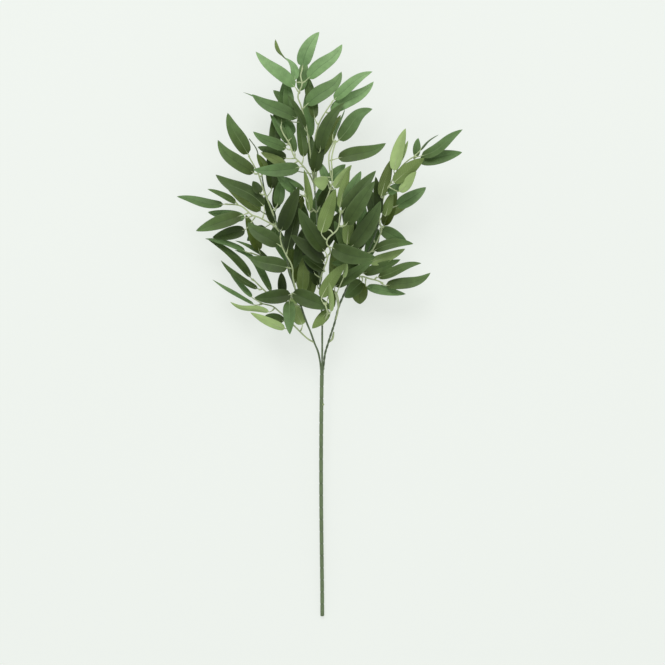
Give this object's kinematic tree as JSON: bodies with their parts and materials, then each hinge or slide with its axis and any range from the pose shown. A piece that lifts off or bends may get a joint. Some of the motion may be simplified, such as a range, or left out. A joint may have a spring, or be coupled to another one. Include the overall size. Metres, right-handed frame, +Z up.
{
  "type": "artificial ruscus bunch",
  "caption": "Artificial ruscus bunch lying on its side: one stem that forks into branches with leafy sprays.",
  "frame": {"origin": "on the surface that the bunch lies on, under the middle of its bounding box", "axes": "+Z up, +Y along the bunch from the cut end of the stem to the crown, +X to the right in the picture"},
  "size_m": [0.427, 0.8772, 0.1452],
  "materials": {
    "stem_plastic": "satin moulded plastic, dull green, paler along the branches' ridges",
    "twig_plastic": "satin moulded plastic, pale yellow-green to cream",
    "leaf_fabric": "printed woven fabric with a slight sheen, mid to dark green above and pale below"
  },
  "bodies": {
    "root": {"branch_centre": "stem_plastic", "branch_left": "stem_plastic", "branch_right": "stem_plastic", "main_stem": "stem_plastic", "spray_back_centre": "leaf_fabric", "spray_back_high": "leaf_fabric", "spray_back_left": "leaf_fabric", "spray_back_right": "leaf_fabric", "spray_centre_foot": "leaf_fabric", "spray_crown": "leaf_fabric", "spray_crown_left": "leaf_fabric", "spray_crown_right": "leaf_fabric", "spray_front_high": "leaf_fabric", "spray_front_low": "leaf_fabric", "spray_heart": "leaf_fabric", "spray_inner": "leaf_fabric", "spray_left_foot": "leaf_fabric", "spray_left_front": "leaf_fabric", "spray_left_lower": "leaf_fabric", "spray_left_middle": "leaf_fabric", "spray_left_sprout": "leaf_fabric", "spray_left_tip": "leaf_fabric", "spray_left_upper": "leaf_fabric", "spray_right_foot": "leaf_fabric", "spray_right_front": "leaf_fabric", "spray_right_lower": "leaf_fabric", "spray_right_middle": "leaf_fabric", "spray_right_side": "leaf_fabric", "spray_right_tip": "leaf_fabric", "spray_right_upper": "leaf_fabric", "spray_under_left": "leaf_fabric", "spray_under_right": "leaf_fabric", "spray_under_top": "leaf_fabric"}
  },
  "joints": []
}
